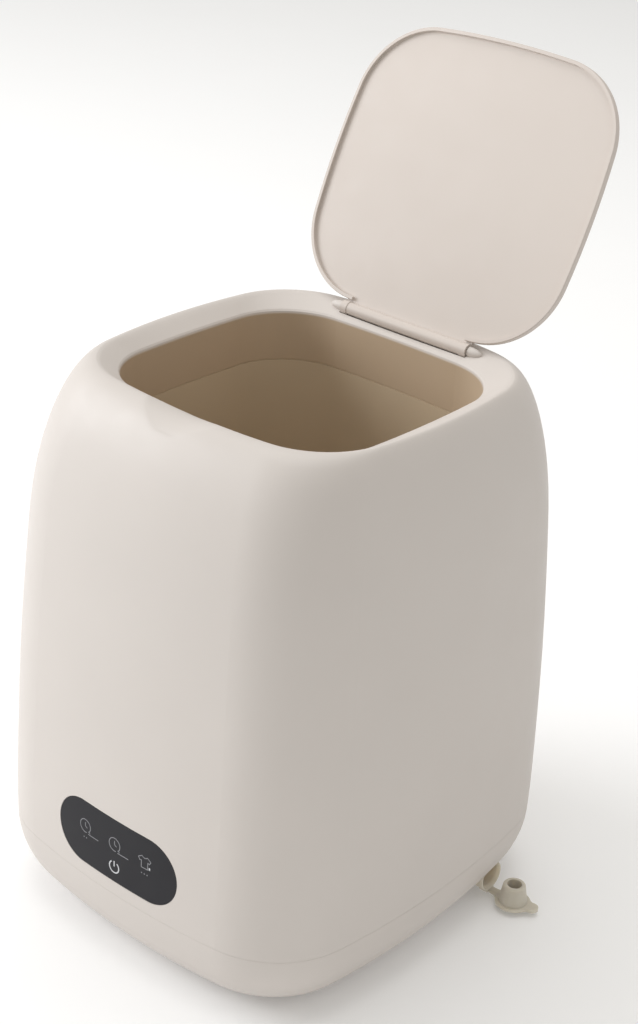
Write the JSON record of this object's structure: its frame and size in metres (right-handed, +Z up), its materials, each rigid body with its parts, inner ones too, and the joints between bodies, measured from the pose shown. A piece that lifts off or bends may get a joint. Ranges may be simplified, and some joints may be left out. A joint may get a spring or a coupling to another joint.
{
  "type": "mini washing machine",
  "caption": "Small top-loading washing machine with a bowed moulded shell, dished rim, hinged lid, touch panel, belt-driven pulsator and a side drain spout with a tethered plug.",
  "frame": {"origin": "middle of the casing's width and depth, on the floor under the feet", "axes": "+X to the machine's right as seen from its front, -Y out of the front panel, +Z up"},
  "size_m": [0.2925, 0.3223, 0.5131],
  "materials": {
    "shell_plastic": "fine satin moulded surface",
    "lid_plastic": "fine satin moulded surface",
    "base_plastic": "fine satin moulded surface",
    "tub_plastic": "smooth moulded surface",
    "panel_plastic": "satin dark film with pale icons",
    "seal_rubber": "soft matt",
    "belt_rubber": "matt",
    "hose_rubber": "matt",
    "soft_plug": "soft matt",
    "foot_rubber": "matt",
    "pulsator_plastic": "smooth moulded surface",
    "steel": "turned",
    "motor_steel": "drawn can",
    "plate_steel": "zinc plated sheet",
    "housing_aluminium": "die cast",
    "bush_brass": "sintered",
    "pulley_plastic": "filled moulding",
    "board_plastic": "coated circuit board",
    "inlet_plastic": "smooth",
    "screw_steel": "zinc plated"
  },
  "bodies": {
    "cabinet": {"shell": "shell_plastic", "base_tray": "base_plastic", "tub": "tub_plastic", "control_panel": "panel_plastic", "tub_gasket": "seal_rubber", "shaft_seal": "seal_rubber", "drive_belt": "belt_rubber", "drain_hose": "hose_rubber", "drain_spout": "soft_plug", "plug_strap": "soft_plug", "foot_front_left": "foot_rubber", "foot_front_right": "foot_rubber", "foot_rear_left": "foot_rubber", "foot_rear_right": "foot_rubber", "foot_centre": "foot_rubber", "hinge_rod": "steel", "drive_motor": "motor_steel", "drive_plate": "plate_steel", "bearing_housing": "housing_aluminium", "bush_upper": "bush_brass", "bush_lower": "bush_brass", "touch_board": "board_plastic", "control_board": "board_plastic", "power_inlet": "inlet_plastic", "touch_screws": "screw_steel", "tub_screws": "screw_steel", "drive_plate_screws": "screw_steel", "motor_screws": "screw_steel", "base_screws": "screw_steel", "board_screws": "screw_steel"},
    "lid": {"lid": "lid_plastic"},
    "pulsator": {"pulsator": "pulsator_plastic", "pulsator_shaft": "steel", "pulsator_screw": "steel", "shaft_pulley": "pulley_plastic", "shaft_clip": "steel"},
    "motor_rotor": {"motor_shaft": "steel", "motor_pulley": "pulley_plastic"},
    "plug": {"drain_plug": "soft_plug"}
  },
  "joints": [
    {"name": "lid_hinge", "type": "hinge", "parent": "cabinet", "child": "lid", "pos_m": [0, 0.09604, 0.3489], "axis": [1, 0, 0], "range_deg": [0, 115.9]},
    {"name": "pulsator_spin", "type": "hinge", "parent": "cabinet", "child": "pulsator", "pos_m": [0, 0.0021, 0.09], "axis": [0, 0, 1], "continuous": true},
    {"name": "motor_spin", "type": "hinge", "parent": "cabinet", "child": "motor_rotor", "pos_m": [-0.066, 0.0021, 0.04], "axis": [0, 0, 1], "continuous": true},
    {"name": "plug_swing", "type": "hinge", "parent": "cabinet", "child": "plug", "pos_m": [0.13115, 0.0735, 0.00535], "axis": [0, -1, 0], "range_deg": [0, 90], "deforming": ["plug_strap"]}
  ],
  "couplings": [
    {"joint": "motor_spin", "follows": "pulsator_spin", "ratio": 4.7179}
  ]
}
